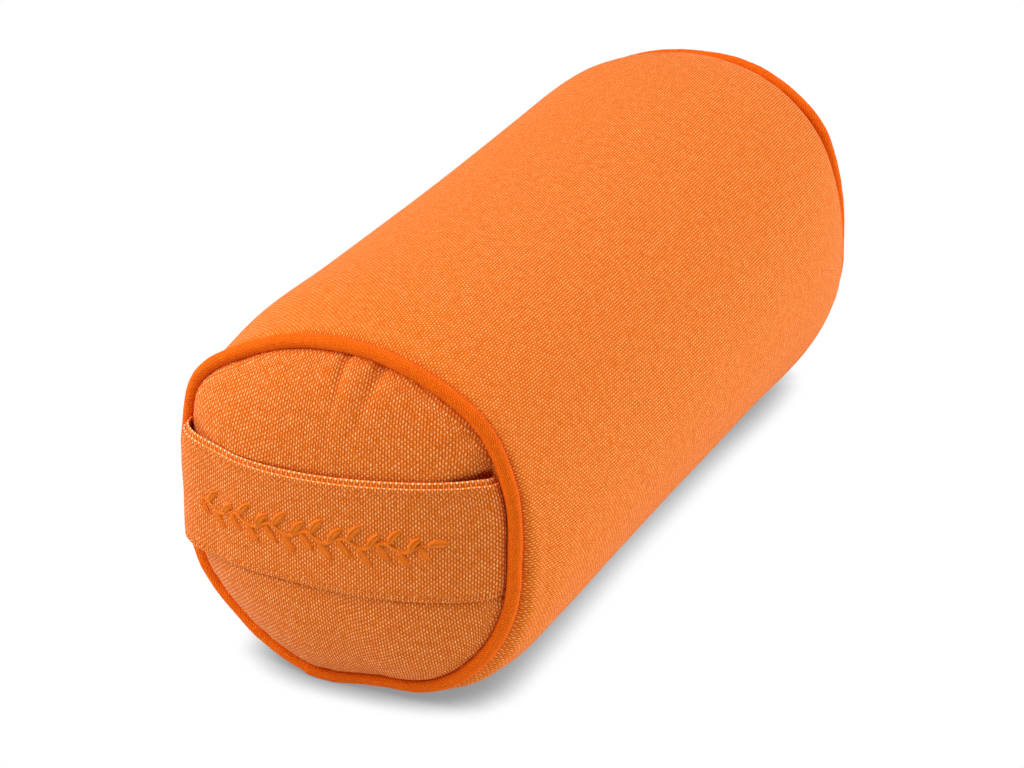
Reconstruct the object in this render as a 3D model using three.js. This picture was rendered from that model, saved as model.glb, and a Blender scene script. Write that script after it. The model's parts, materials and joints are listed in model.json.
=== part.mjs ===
// Mini bolster: a small round cushion with corded end seams and a carrying strap across one end.
// Millimetres, +Z up. It lies along Y on the plane Z = 0, and the strap is at the -Y end.
// Every piece is first shaped round a straight axis, then settled with the others onto the surface.
import * as THREE from "three";

// Overall sizes
const SEAM_TO_SEAM = 321; // between the middles of the cords in the two end seams
const SEAM_RADIUS = 66.8; // from the axis to the middle of the cord, before settling
const AXIS_HEIGHT = 67.2; // of the axis above the surface
const SEGMENTS = 60; // steps round the axis, the same for all round pieces
const GAP = 0.35; // left between pieces that touch

// Cord in the end seams
const CORD_RADIUS = 2.6;
const CORD_SIDES = 8;
const CHANNEL_START = Math.PI; // where the channel round the cord starts, on the end panel's side
const CHANNEL_TURN = THREE.MathUtils.degToRad(120);
const CHANNEL_STEPS = 5;

// Side of the filled body
const SHOULDER_RADIUS = 70; // of the side cloth close to the seam
const BELLY = 5.8; // how much further out the side is in the middle of its length
const BELLY_POWER = 5.2; // high, because the side is nearly straight and rounds over near the ends
const SIDE_STEPS = 20;
const SIDE_SHARE = 0.975; // of the length between the seams, left between the two channels

// End panels
const PANEL_THICKNESS = 1.6; // cloth with the turnings behind it
const PANEL_RADIUS = 64.2; // where the panel meets the cord
const PANEL_BEVEL = 1; // by which its inner edge is drawn in, clear of the cord
const PANEL_EDGE_RISE = 1.6; // of the panel's edge outwards from the seam's plane
const PANEL_POWER = 2.8; // flatter in the middle than a ball, and steeper at the edge
const PANEL_CROWN = 15; // of the middle of a panel outwards from the seam's plane
const PANEL_STEPS = 7;

// Strap
const STRAP_WIDTH = 44;
const STRAP_THICKNESS = 1.6;
const STRAP_REACH = 64; // from the axis to its sewn ends, which follow the round seam
const STRAP_ROUNDING = 4; // power that keeps the seam's roundness to the ends of the strap
const STRAP_STEPS = { along: 30, across: 4 };
// across: place from left to right. out: middle of the strap's thickness, from the seam's plane.
// up: middle of its width, above the axis. tip: degrees by which its upper edge stands further out.
const STRAP_SECTIONS = [
  { across: -63.8, out: 3.4, up: 0.0, tip: 0 },
  { across: -64.8, out: 5.8, up: 0.0, tip: 0 },
  { across: -63.2, out: 9.0, up: 0.2, tip: 0 },
  { across: -59.0, out: 11.2, up: 0.3, tip: 0 },
  { across: -52.0, out: 13.2, up: 0.5, tip: 0 },
  { across: -41.0, out: 16.4, up: 0.9, tip: 1 },
  { across: -22.0, out: 19.4, up: 1.8, tip: 2 },
  { across: 0.0, out: 20.4, up: 2.8, tip: 2 },
  { across: 21.0, out: 19.2, up: 3.7, tip: 2 },
  { across: 37.0, out: 15.9, up: 4.4, tip: 1 },
  { across: 48.0, out: 11.7, up: 4.9, tip: 0 },
  { across: 57.0, out: 7.2, up: 5.2, tip: 0 },
  { across: 62.0, out: 4.5, up: 5.4, tip: 0 },
  { across: 63.8, out: 3.6, up: 5.5, tip: 0 },
];

// How the round shape has settled: percent of the round radius, at equal steps of angle.
// front and back are the end seams, shoulder is the side just behind the front seam, and middle is
// the side at half length.
const SETTLED = [
  { angle: 0, front: 97.7, shoulder: 102.0, middle: 107.2, back: 99.5 },
  { angle: 20, front: 101.2, shoulder: 101.5, middle: 104.4, back: 101.5 },
  { angle: 40, front: 104.0, shoulder: 101.5, middle: 100.5, back: 105.5 },
  { angle: 60, front: 99.3, shoulder: 98.8, middle: 97.1, back: 107.0 },
  { angle: 80, front: 97.0, shoulder: 96.5, middle: 94.8, back: 105.0 },
  { angle: 100, front: 97.0, shoulder: 96.3, middle: 94.0, back: 102.0 },
  { angle: 120, front: 100.0, shoulder: 96.8, middle: 95.5, back: 103.0 },
  { angle: 140, front: 104.8, shoulder: 99.0, middle: 98.5, back: 105.0 },
  { angle: 160, front: 104.2, shoulder: 102.5, middle: 102.5, back: 105.5 },
  { angle: 180, front: 95.8, shoulder: 102.0, middle: 107.0, back: 105.0 },
  { angle: 200, front: 99.0, shoulder: 102.5, middle: 107.2, back: 103.0 },
  { angle: 220, front: 100.8, shoulder: 101.0, middle: 102.9, back: 100.5 },
  { angle: 240, front: 99.0, shoulder: 97.5, middle: 96.7, back: 98.5 },
  { angle: 260, front: 97.5, shoulder: 95.5, middle: 92.0, back: 95.0 },
  { angle: 280, front: 94.2, shoulder: 95.0, middle: 91.6, back: 95.0 },
  { angle: 300, front: 101.0, shoulder: 100.5, middle: 95.4, back: 100.0 },
  { angle: 320, front: 102.0, shoulder: 105.0, middle: 99.6, back: 106.0 },
  { angle: 340, front: 100.3, shoulder: 105.5, middle: 105.5, back: 104.0 },
];
const SHOULDER_AT = -0.9; // places along the length, -1 at the front seam and 1 at the back
const MIDDLE_AT = -0.1;
const BACK_POWER = 2; // how late the side takes the shape of the back seam
const FRONT_POWER = 5; // how fast the lean and the fuller side die away behind the front seam
const FRONT_LEAN = { across: -0.04, up: 0.014 }; // slope of the front seam's plane
const FULLER = 4; // how much further the front panel bulges on its full side
const FULLER_POWER = 3; // how far out towards the seam that bulge lies
const FULL_SIDE = THREE.MathUtils.degToRad(200);

// A value of the settled table at any angle, on a smooth curve through its rows.
function settledAt(column, angle) {
  const rows = SETTLED.length;
  const place = THREE.MathUtils.euclideanModulo((angle / (2 * Math.PI)) * rows, rows);
  const row = Math.floor(place);
  const share = place - row;
  const [a, b, c, d] = [-1, 0, 1, 2].map((i) => SETTLED[(row + i + rows) % rows][column] / 100);
  const slopeStart = (c - a) / 2;
  const slopeEnd = (d - b) / 2;
  return (
    b * (2 * share ** 3 - 3 * share ** 2 + 1) +
    slopeStart * (share ** 3 - 2 * share ** 2 + share) +
    c * (3 * share ** 2 - 2 * share ** 3) +
    slopeEnd * (share ** 3 - share ** 2)
  );
}

// The settled radius against the round one, at a place along the length from -1 to 1.
function stretchAt(along, angle) {
  const { lerp, smoothstep } = THREE.MathUtils;
  const shoulder = smoothstep(along, -1, SHOULDER_AT);
  const middle = smoothstep(along, SHOULDER_AT, MIDDLE_AT);
  const back = Math.max(0, along) ** BACK_POWER;
  const nearSeam = lerp(settledAt("front", angle), settledAt("shoulder", angle), shoulder);
  const side = lerp(nearSeam, settledAt("middle", angle), middle);
  return lerp(side, settledAt("back", angle), back);
}

// Moves a point of the round shape to where the filling and the surface have put it.
function settle(point) {
  const along = THREE.MathUtils.clamp((2 * point.y) / SEAM_TO_SEAM, -1, 1);
  const angle = Math.atan2(point.z, point.x);
  const stretch = stretchAt(along, angle);
  const reach = Math.min(1, Math.hypot(point.x, point.z) / SEAM_RADIUS);
  const bulge = FULLER * reach * (1 - reach ** FULLER_POWER) * Math.cos(angle - FULL_SIDE);
  const lean = FRONT_LEAN.across * point.x + FRONT_LEAN.up * point.z;
  point.y += Math.max(0, -along) ** FRONT_POWER * (lean - bulge);
  point.x *= stretch;
  point.z = Math.max(0, AXIS_HEIGHT + point.z * stretch);
}

// A mesh of a geometry, with every point settled.
function piece(name, geometry, colour) {
  const places = geometry.attributes.position;
  const point = new THREE.Vector3();
  for (let i = 0; i < places.count; i += 1) {
    point.fromBufferAttribute(places, i);
    settle(point);
    places.setXYZ(i, point.x, point.y, point.z);
  }
  geometry.computeVertexNormals();
  const material = new THREE.MeshStandardMaterial({ color: colour, roughness: 0.9, metalness: 0 });
  const mesh = new THREE.Mesh(geometry, material);
  mesh.name = name;
  return mesh;
}

// Height of an end panel's outer face above the seam's plane, at a distance from the axis.
function panelRise(radius) {
  const reach = Math.min(1, radius / PANEL_RADIUS);
  return PANEL_EDGE_RISE + (PANEL_CROWN - PANEL_EDGE_RISE) * (1 - reach ** PANEL_POWER);
}

// Points of an end panel's face from the axis to a radius, sunk below its outer face.
function panelFace(radius, sunk) {
  const points = [];
  for (let i = 0; i <= PANEL_STEPS; i += 1) {
    const distance = radius * Math.sin((i / PANEL_STEPS) * (Math.PI / 2));
    points.push(new THREE.Vector2(distance, panelRise(distance) - sunk));
  }
  return points;
}

// Half of the body's outline, from the pole of one end to its seam: distance from the axis, and
// height above the seam's plane.
function bodyEnd() {
  const step = CHANNEL_TURN / CHANNEL_STEPS;
  const channel = (CORD_RADIUS + GAP) / Math.cos(step / 2);
  const points = panelFace(SEAM_RADIUS - channel, PANEL_THICKNESS + GAP);
  for (let i = 0; i <= CHANNEL_STEPS; i += 1) {
    const turn = CHANNEL_START + i * step;
    points.push(new THREE.Vector2(SEAM_RADIUS + channel * Math.cos(turn), channel * Math.sin(turn)));
  }
  return points;
}

// Distance of the side from the axis, for a place along it from -1 to 1.
function sideRadius(along) {
  return SHOULDER_RADIUS + BELLY * (1 - Math.abs(along) ** BELLY_POWER);
}

function bolsterBody() {
  const half = SEAM_TO_SEAM / 2;
  const front = bodyEnd().map((p) => new THREE.Vector2(p.x, -half - p.y));
  const back = bodyEnd().map((p) => new THREE.Vector2(p.x, half + p.y));
  const side = [];
  for (let i = 0; i <= SIDE_STEPS; i += 1) {
    const along = SIDE_SHARE * Math.sin((i / SIDE_STEPS - 0.5) * Math.PI);
    side.push(new THREE.Vector2(sideRadius(along), along * half));
  }
  const outline = [...front, ...side, ...back.reverse()];
  return piece("bolster_body", new THREE.LatheGeometry(outline, SEGMENTS), "#f4843a");
}

function endPanel(name, towards) {
  const half = SEAM_TO_SEAM / 2;
  const outside = panelFace(PANEL_RADIUS, 0);
  const inside = panelFace(PANEL_RADIUS - PANEL_BEVEL, PANEL_THICKNESS);
  const outline = [...inside, ...outside.reverse()];
  if (towards < 0) outline.reverse();
  const placed = outline.map((p) => new THREE.Vector2(p.x, towards * (half + p.y)));
  return piece(name, new THREE.LatheGeometry(placed, SEGMENTS), "#f18338");
}

function cord(name, towards) {
  const outline = [];
  for (let i = 0; i <= CORD_SIDES; i += 1) {
    const turn = ((i % CORD_SIDES) / CORD_SIDES) * 2 * Math.PI;
    outline.push(
      new THREE.Vector2(
        SEAM_RADIUS + CORD_RADIUS * Math.cos(turn),
        (towards * SEAM_TO_SEAM) / 2 + CORD_RADIUS * Math.sin(turn),
      ),
    );
  }
  return piece(name, new THREE.LatheGeometry(outline, SEGMENTS), "#f06a10");
}

// The strap is a thin box bent along its middle line, with its ends in the front seam.
function handleStrap() {
  const middle = new THREE.CatmullRomCurve3(
    STRAP_SECTIONS.map((s) => new THREE.Vector3(s.across, -SEAM_TO_SEAM / 2 - s.out, s.up)),
  );
  const tips = new THREE.CatmullRomCurve3(
    STRAP_SECTIONS.map((s) => new THREE.Vector3(s.across, THREE.MathUtils.degToRad(s.tip), 0)),
  );
  const { along, across } = STRAP_STEPS;
  const geometry = new THREE.BoxGeometry(1, STRAP_THICKNESS, STRAP_WIDTH, along, 1, across);
  const places = geometry.attributes.position;
  const point = new THREE.Vector3();
  for (let i = 0; i < places.count; i += 1) {
    point.fromBufferAttribute(places, i);
    const share = THREE.MathUtils.clamp(point.x + 0.5, 0, 1);
    const centre = middle.getPoint(share);
    const tangent = middle.getTangent(share);
    const tip = tips.getPoint(share).y;
    const sideways = new THREE.Vector3(0, -Math.sin(tip), Math.cos(tip));
    const inwards = new THREE.Vector3().crossVectors(sideways, tangent).normalize();
    centre.addScaledVector(sideways, point.z).addScaledVector(inwards, point.y);
    const atSeam = Math.sqrt(1 - (centre.z / STRAP_REACH) ** 2);
    centre.x *= 1 - (1 - atSeam) * Math.abs(centre.x / STRAP_REACH) ** STRAP_ROUNDING;
    places.setXYZ(i, centre.x, centre.y, centre.z);
  }
  return piece("handle_strap", geometry, "#f1853c");
}

const bolster = new THREE.Group();
bolster.add(
  bolsterBody(),
  endPanel("end_panel_front", -1),
  endPanel("end_panel_back", 1),
  cord("piping_front", -1),
  cord("piping_back", 1),
  handleStrap(),
);

export default bolster;
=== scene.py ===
# %% [markdown]
# # A mini bolster in orange canvas
# A mini bolster is a small, firmly filled cylinder of cloth. A maker cuts one long side cloth and two
# round end panels, sews a covered cord into each end seam and holds a carrying strap in one of them.
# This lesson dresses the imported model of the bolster, which gives every place, in real cloth.

# %% Load the frame
import json
import math

import bmesh
import bpy
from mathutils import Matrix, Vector, noise
from mathutils.bvhtree import BVHTree

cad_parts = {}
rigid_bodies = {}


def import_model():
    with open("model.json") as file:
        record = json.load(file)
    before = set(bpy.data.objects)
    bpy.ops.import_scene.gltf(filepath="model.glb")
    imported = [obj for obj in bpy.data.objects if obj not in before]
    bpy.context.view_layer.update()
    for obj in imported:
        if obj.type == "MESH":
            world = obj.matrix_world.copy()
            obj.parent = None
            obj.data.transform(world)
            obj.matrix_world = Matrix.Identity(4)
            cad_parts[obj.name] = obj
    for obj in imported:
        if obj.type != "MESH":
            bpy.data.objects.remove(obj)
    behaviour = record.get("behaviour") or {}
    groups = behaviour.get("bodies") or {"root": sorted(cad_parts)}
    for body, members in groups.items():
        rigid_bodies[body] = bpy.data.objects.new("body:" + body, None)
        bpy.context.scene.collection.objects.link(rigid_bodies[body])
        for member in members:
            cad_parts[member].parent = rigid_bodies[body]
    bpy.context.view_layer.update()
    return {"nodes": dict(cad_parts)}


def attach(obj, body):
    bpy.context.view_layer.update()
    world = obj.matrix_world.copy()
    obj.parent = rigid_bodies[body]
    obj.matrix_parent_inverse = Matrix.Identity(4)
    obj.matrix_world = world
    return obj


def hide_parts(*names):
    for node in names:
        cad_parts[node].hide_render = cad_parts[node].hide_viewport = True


MM = 0.001
TURN = 2 * math.pi

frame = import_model()

# %% [markdown]
# ## Camera
# The bolster is looked down on from its front right, from a good metre away with a long lens, so the
# far end looks only a little smaller than the near one. The camera is made first, and it looks along
# a direction, which a track quaternion turns into a rotation.

# %% Camera
CAMERA_PLACE = Vector((0.4764, -1.0555, 0.5839))
CAMERA_VIEW = Vector((-0.3808, 0.8246, -0.4183))
LENS_MM = 114.5
SENSOR_MM = 36.0

camera_data = bpy.data.cameras.new("camera")
camera_data.lens = LENS_MM
camera_data.sensor_width = SENSOR_MM
camera = bpy.data.objects.new("camera", camera_data)
camera.location = CAMERA_PLACE
camera.rotation_euler = CAMERA_VIEW.to_track_quat("-Z", "Y").to_euler()
bpy.context.scene.collection.objects.link(camera)
bpy.context.scene.camera = camera
print("camera", round(CAMERA_PLACE.length, 3), "m from the origin, lens", LENS_MM, "mm")

# %% [markdown]
# ## Floor and light
# A table of white acrylic, lit through from below as product photographers do, and square softboxes
# all round. The strongest stands high at the left front and the next one low at the right, so the end
# with the strap gets darker from left to right. The only shadow is a soft one painted into the table's
# glow where the bolster touches the table.

# %% Floor and light
FLOOR_REACH = 4.0  # metres, well past the view
LIGHTS = [
    # name, place in metres, watts
    ("left", (-2.0, 0.0, 0.8), 6.0),
    ("left_front", (-1.1, -1.1, 1.5), 38.0),
    ("left_top", (-1.3, 0.0, 1.5), 10.0),
    ("right_back", (1.5, 1.5, 0.8), 21.0),
    ("right_low", (2.0, 0.3, 0.25), 29.0),
    ("top", (0.0, 0.0, 2.0), 15.5),
]
LIGHT_SIZE = 1.2  # metres, of the square softboxes
LIGHT_TARGET = Vector((0.0, 0.0, 0.07))
WORLD_LIGHT = 0.02
TABLE_GLOW = 0.3  # of the table, as the bolster sees it


def piece_from(bm, name):
    """A new object with the bmesh as its mesh, linked to the scene and shaded smooth."""
    mesh = bpy.data.meshes.new(name)
    bm.to_mesh(mesh)
    bm.free()
    mesh.polygons.foreach_set("use_smooth", [True] * len(mesh.polygons))
    piece = bpy.data.objects.new(name, mesh)
    bpy.context.scene.collection.objects.link(piece)
    return piece


bm = bmesh.new()
bmesh.ops.create_grid(bm, x_segments=1, y_segments=1, size=FLOOR_REACH)
floor = piece_from(bm, "floor")

for name, place, watts in LIGHTS:
    light_data = bpy.data.lights.new(name, "AREA")
    light_data.shape = "SQUARE"
    light_data.size = LIGHT_SIZE
    light_data.energy = watts
    light = bpy.data.objects.new(name, light_data)
    light.location = place
    light.rotation_euler = (LIGHT_TARGET - Vector(place)).to_track_quat("-Z", "Y").to_euler()
    bpy.context.scene.collection.objects.link(light)

world = bpy.data.worlds.new("studio")
world.use_nodes = True
world.node_tree.nodes["Background"].inputs["Color"].default_value = (1.0, 1.0, 1.0, 1.0)
world.node_tree.nodes["Background"].inputs["Strength"].default_value = WORLD_LIGHT
bpy.context.scene.world = world
bpy.context.scene.view_settings.view_transform = "Standard"
print("lights:", [light[0] for light in LIGHTS])

# %% [markdown]
# ## What the frame tells
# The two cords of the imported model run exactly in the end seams, so the mean of a cord's points at
# each step round the axis is the seam line. Sewing pulls such a seam a little in and out, so a list of
# pulls is added. A smooth curve through the points gives the seam at any angle, and every piece of
# cloth is placed from it.

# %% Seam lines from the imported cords
AXIS_HEIGHT = 67.2 * MM  # of the bolster's axis above the table
STEPS_ROUND = 60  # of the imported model, round the axis


def smooth_round(values):
    """A function of the angle, on a smooth closed curve through values at equal steps of angle."""
    count = len(values)

    def at(angle):
        place = angle / TURN * count
        row = math.floor(place)
        share = place - row
        a, b, c, d = (values[(row + i) % count] for i in (-1, 0, 1, 2))
        bend = (2 * a - 5 * b + 4 * c - d) + share * (3 * (b - c) + d - a)
        return b + 0.5 * share * ((c - a) + share * bend)

    return at


SEAM_PULLS = {
    # angle in degrees, width in degrees and mm outwards
    "piping_front": [(162, 9, -1.8), (143, 9, 1.6), (225, 10, -1.3), (258, 9, 0.9)],
    "piping_back": [(38, 14, 1.3), (85, 10, -0.8)],
}


def pull(node, angle):
    """How far outwards the sewing pulls a seam at an angle, in metres."""
    total = 0.0
    for at, width, out in SEAM_PULLS[node]:
        away = (math.degrees(angle) - at + 180) % 360 - 180
        total += out * MM * math.exp(-((away / width) ** 2))
    return total


def seam_line(node):
    """The middle line of a packed cord, as a function of the angle round the axis."""
    sums = [Vector((0, 0, 0)) for _ in range(STEPS_ROUND)]
    counts = [0] * STEPS_ROUND
    for vertex in {tuple(v.co) for v in frame["nodes"][node].data.vertices}:
        angle = math.atan2(vertex[2] - AXIS_HEIGHT, vertex[0])
        step = round(angle / TURN * STEPS_ROUND) % STEPS_ROUND
        sums[step] += Vector(vertex)
        counts[step] += 1
    points = [total / count for total, count in zip(sums, counts)]
    for step, point in enumerate(points):
        angle = step / STEPS_ROUND * TURN
        points[step] = point + Vector((math.cos(angle), 0, math.sin(angle))) * pull(node, angle)
    return smooth_round(points)


SEAMS = {"front": seam_line("piping_front"), "back": seam_line("piping_back")}
OUTWARDS = {"front": -1, "back": 1}  # along Y, away from the filling
print("front seam at the top:", [round(c, 4) for c in SEAMS["front"](math.pi / 2)])

# %% [markdown]
# ## The filled body
# The filling presses the side cloth out until it is taut. A cloth simulation with pressure does the
# same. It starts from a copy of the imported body, drawn in a little, because the cloth swells. The
# copy gets an even mesh by voxel remeshing. The cloth is held where it lies on the table and beside
# the seams, and how far each point may move is capped, so that the bolster keeps its size.

# %% Fill the body
VOXEL = 5 * MM
DRAWN_IN = 0.3 * MM  # how much smaller the cloth starts
MOST_MOVE = 1.0 * MM  # of any point, from where it started
PRESSURE = 40.0
HELD_BELOW = 1.5 * MM  # of height above the table
HELD_BESIDE = 6 * MM  # of length at each end
LAST_FRAME = 20
FINAL_SMOOTHING = 4  # times
ALL_AXES = {"use_axis_x": True, "use_axis_y": True, "use_axis_z": True}


def merged_copy(node, name):
    """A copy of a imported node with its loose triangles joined."""
    bm = bmesh.new()
    bm.from_mesh(frame["nodes"][node].data)
    bmesh.ops.remove_doubles(bm, verts=bm.verts, dist=0.01 * MM)
    return piece_from(bm, name)


def apply_modifiers(piece):
    """Puts what the modifiers make into the mesh, and removes them."""
    shown = piece.evaluated_get(bpy.context.evaluated_depsgraph_get())
    made = bpy.data.meshes.new_from_object(shown)
    piece.modifiers.clear()
    piece.data = made


def even_mesh(piece):
    """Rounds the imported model's facets, then gives the piece an even mesh of small faces."""
    rounding = piece.modifiers.new("rounding", "SUBSURF")
    rounding.levels = 1
    rounding.render_levels = 1
    remesh = piece.modifiers.new("even", "REMESH")
    remesh.mode = "VOXEL"
    remesh.voxel_size = VOXEL
    apply_modifiers(piece)


def fill(piece):
    """Swells the piece with a cloth simulation, within the cap."""
    vertices = piece.data.vertices
    ends = [pick(vertex.co.y for vertex in vertices) for pick in (min, max)]
    beside = [min(vertex.co.y - ends[0], ends[1] - vertex.co.y) < HELD_BESIDE for vertex in vertices]
    is_held = [vertex.co.z < HELD_BELOW or near_end for vertex, near_end in zip(vertices, beside)]
    held = piece.vertex_groups.new(name="held")
    held.add([index for index, fixed in enumerate(is_held) if fixed], 1.0, "REPLACE")
    for vertex, fixed in zip(vertices, is_held):
        if not fixed:
            vertex.co -= vertex.normal * DRAWN_IN
    start = [vertex.co.copy() for vertex in vertices]
    cloth = piece.modifiers.new("filling", "CLOTH")
    cloth.settings.vertex_group_mass = held.name
    cloth.settings.use_pressure = True
    cloth.settings.uniform_pressure_force = PRESSURE
    cloth.settings.effector_weights.gravity = 0
    cloth.point_cache.frame_end = LAST_FRAME
    for step in range(1, LAST_FRAME + 1):
        bpy.context.scene.frame_set(step)
    apply_modifiers(piece)
    bpy.context.scene.frame_set(1)
    for vertex, place in zip(piece.data.vertices, start):
        move = vertex.co - place
        if move.length > MOST_MOVE:
            vertex.co = place + move * (MOST_MOVE / move.length)
        vertex.co.z = max(0, vertex.co.z)


def smoothed(piece, times):
    """Evens out the piece's surface."""
    bm = bmesh.new()
    bm.from_mesh(piece.data)
    for _ in range(times):
        bmesh.ops.smooth_vert(bm, verts=bm.verts, factor=0.5, **ALL_AXES)
    bm.to_mesh(piece.data)
    bm.free()


filling = merged_copy("bolster_body", "filling")
even_mesh(filling)
fill(filling)
smoothed(filling, FINAL_SMOOTHING)
filled_shape = BVHTree.FromObject(filling, bpy.context.evaluated_depsgraph_get())
print("filled body:", len(filling.data.vertices), "points")
bpy.data.objects.remove(filling)

# %% [markdown]
# ## Cloth as a fitted grid
# Cloth is woven straight, and its weave has to run round and along the bolster without a break. So
# each piece of cloth is a grid of small quads that is laid on its shape, point by point, with a UV map
# in metres that says which point of the flat cloth is there. The grid's two long edges are joined
# again where it closes into a ring.

# %% Fitted grids
def lay_grid(bm, columns, rows, place, flat):
    """Adds a grid laid on a shape. place(s, t) is each point and flat(s, t) its place in the flat cloth."""
    cloth = bm.loops.layers.uv.get("cloth") or bm.loops.layers.uv.new("cloth")
    made = bmesh.ops.create_grid(bm, x_segments=columns, y_segments=rows, size=0.5)["verts"]
    shares = {vertex: (vertex.co.x + 0.5, vertex.co.y + 0.5) for vertex in made}
    for face in {face for vertex in made for face in vertex.link_faces}:
        for loop in face.loops:
            loop[cloth].uv = flat(*shares[loop.vert])
    for vertex, (s, t) in shares.items():
        vertex.co = place(s, t)


def closed_piece(bm, name):
    """The piece from a bmesh whose loose edges are joined, with its faces pointing outwards."""
    bmesh.ops.remove_doubles(bm, verts=bm.verts, dist=0.01 * MM)
    bmesh.ops.recalc_face_normals(bm, faces=bm.faces)
    return piece_from(bm, name)


def fitted_grid(name, columns, rows, place, flat):
    """One grid as a piece of its own."""
    bm = bmesh.new()
    lay_grid(bm, columns, rows, place, flat)
    return closed_piece(bm, name)


def outward(angle):
    """The direction away from the axis at an angle."""
    return Vector((math.cos(angle), 0, math.sin(angle)))


def mixed(a, b, share):
    """A value between a and b."""
    return a + (b - a) * share


# %% [markdown]
# ## Side cloth
# The side cloth comes out of the seam beside the cord, rounds over and runs straight to the other
# seam. Rays from the axis find the filled shape, and stuffing is never quite even, so a list of fuller
# and thinner places is added. The last centimetre before each seam is a curve of its own, down to the
# cord, and behind the panels the piece closes with plain caps, because a filled cushion is one closed
# form.

# %% Side cloth
CORD_RADIUS = 2.6 * MM
CLEARANCE = 0.25 * MM  # left between touching pieces
SHOULDER = 12 * MM  # length of the curve beside the cord
CLOTH_ROUND = 440 * MM  # of flat side cloth, which goes once round and stretches over the belly
SIDE_COLUMNS = 264
SIDE_ROWS = 96
CAP_SHARES = (0.0, 0.4, 0.75, 0.94)  # of the way from the axis to the cord
CAP_SINK = 6 * MM  # the caps dip by up to a third of this, to make room for the puckers
CAP_ROUNDNESS = 0.6
LAST_CHANNEL = {"front": 68, "back": 106}  # degrees round the cord where the side cloth leaves it
CHANNEL_SHARES = (0.0, 0.35, 0.7, 1.0)
BACK_GROOVE = (45, 28, 32)  # degrees: round this angle, this wide, it leaves the cord lower by this
SHOULDER_SHARES = (0.12, 0.26, 0.42, 0.6, 0.8)
SHOULDER_RISE = {"front": 0.6, "back": 0.15}  # how steeply the cloth leaves the cord


UNEVEN_FILLING = [
    # angle in degrees and its width, place along the axis in mm and its length, mm outwards
    (318, 35, 128, 45, 1.9),
    (318, 35, 20, 45, 0.5),
    (318, 30, -85, 25, -0.5),
    (310, 28, -150, 17, 2.6),
    (138, 30, -120, 28, 1.6),
    (125, 28, 140, 26, 1.2),
]


def uneven(angle, y):
    """How much fuller the filling is at a place, in metres."""
    total = 0.0
    for at, width, place, length, out in UNEVEN_FILLING:
        away = (math.degrees(angle) - at + 180) % 360 - 180
        total += out * MM * math.exp(-((away / width) ** 2) - ((y / MM - place) / length) ** 2)
    return total


def filled_radius(angle, y):
    """Distance of the filled shape from the axis."""
    start = Vector((0, y, AXIS_HEIGHT))
    hit = filled_shape.ray_cast(start, outward(angle))[0]
    return (hit - start).length + uneven(angle, y)


def beside_cord(end, angle, out, inwards):
    """A point from its distances from the cord's middle: away from the axis, and inwards along it."""
    along = Vector((0, -OUTWARDS[end], 0))
    return SEAMS[end](angle) + outward(angle) * out + along * inwards


def cap_point(end, angle, share):
    """A point of the plain cap behind a panel."""
    seam = SEAMS[end](angle)
    middle = Vector((0, (SEAMS[end](0).y + SEAMS[end](math.pi).y) / 2, AXIS_HEIGHT))
    rim = seam - outward(angle) * (CORD_RADIUS + CLEARANCE)
    rim.y -= OUTWARDS[end] * CAP_SINK * (1 - share) ** CAP_ROUNDNESS
    return middle + (rim - middle) * share


def channel_spot(end, angle, share):
    """Distances outwards and inwards from the cord's middle, in the channel that it lies in."""
    last = LAST_CHANNEL[end]
    if end == "back":
        at, width, more = BACK_GROOVE
        last += more * math.exp(-(((math.degrees(angle) - at) / width) ** 2))
    turn = math.radians(mixed(180, last, share))
    reach = CORD_RADIUS + CLEARANCE
    return reach * math.cos(turn), reach * math.sin(turn)


def channel_point(end, angle, share):
    """A point of the channel that the cord lies in."""
    return beside_cord(end, angle, *channel_spot(end, angle, share))


def shoulder_point(end, angle, share):
    """A point of the curve from the channel onto the side."""
    seam = SEAMS[end](angle)
    inner = (seam - Vector((0, seam.y, AXIS_HEIGHT))).length
    rise = filled_radius(angle, seam.y - OUTWARDS[end] * SHOULDER) - inner
    a = channel_spot(end, angle, 1.0)
    b = (mixed(a[0], rise, SHOULDER_RISE[end]), a[1] + 0.3 * MM)
    c, d = (rise, 5.5 * MM), (rise, SHOULDER)
    k = 1 - share
    weights = (k**3, 3 * k * k * share, 3 * k * share * share, share**3)
    out, inwards = (sum(w * p[i] for w, p in zip(weights, (a, b, c, d))) for i in (0, 1))
    return beside_cord(end, angle, out, inwards)


def side_point(angle, share):
    """A point of the side between the two shoulders."""
    start = SEAMS["front"](angle).y + SHOULDER
    stop = SEAMS["back"](angle).y - SHOULDER
    y = mixed(start, stop, share)
    return Vector((0, y, AXIS_HEIGHT)) + outward(angle) * filled_radius(angle, y)


front_rows = [(cap_point, "front", share) for share in CAP_SHARES]
front_rows += [(channel_point, "front", share) for share in CHANNEL_SHARES]
front_rows += [(shoulder_point, "front", share) for share in SHOULDER_SHARES]
back_rows = [(kind, "back", value) for kind, _, value in reversed(front_rows)]
side_rows = [(None, "side", i / SIDE_ROWS) for i in range(SIDE_ROWS + 1)]
cover_rows = front_rows + side_rows + back_rows
LAST_ROW = len(cover_rows) - 1
MEASURED_AT = 0.2  # share of the way round, near the top, where the rows' lengths are taken


def cover_place(s, t):
    """A point of the side cloth, from its row and its share of the way round."""
    kind, end, value = cover_rows[round(t * LAST_ROW)]
    angle = TURN * s
    point = side_point(angle, value) if kind is None else kind(end, angle, value)
    point.z = max(0, point.z)
    return point


cover_lengths = [0.0]
for row in range(LAST_ROW):
    step = cover_place(MEASURED_AT, (row + 1) / LAST_ROW) - cover_place(MEASURED_AT, row / LAST_ROW)
    cover_lengths.append(cover_lengths[-1] + step.length)


def cover_flat(s, t):
    return (CLOTH_ROUND * s, cover_lengths[round(t * LAST_ROW)])


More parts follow.
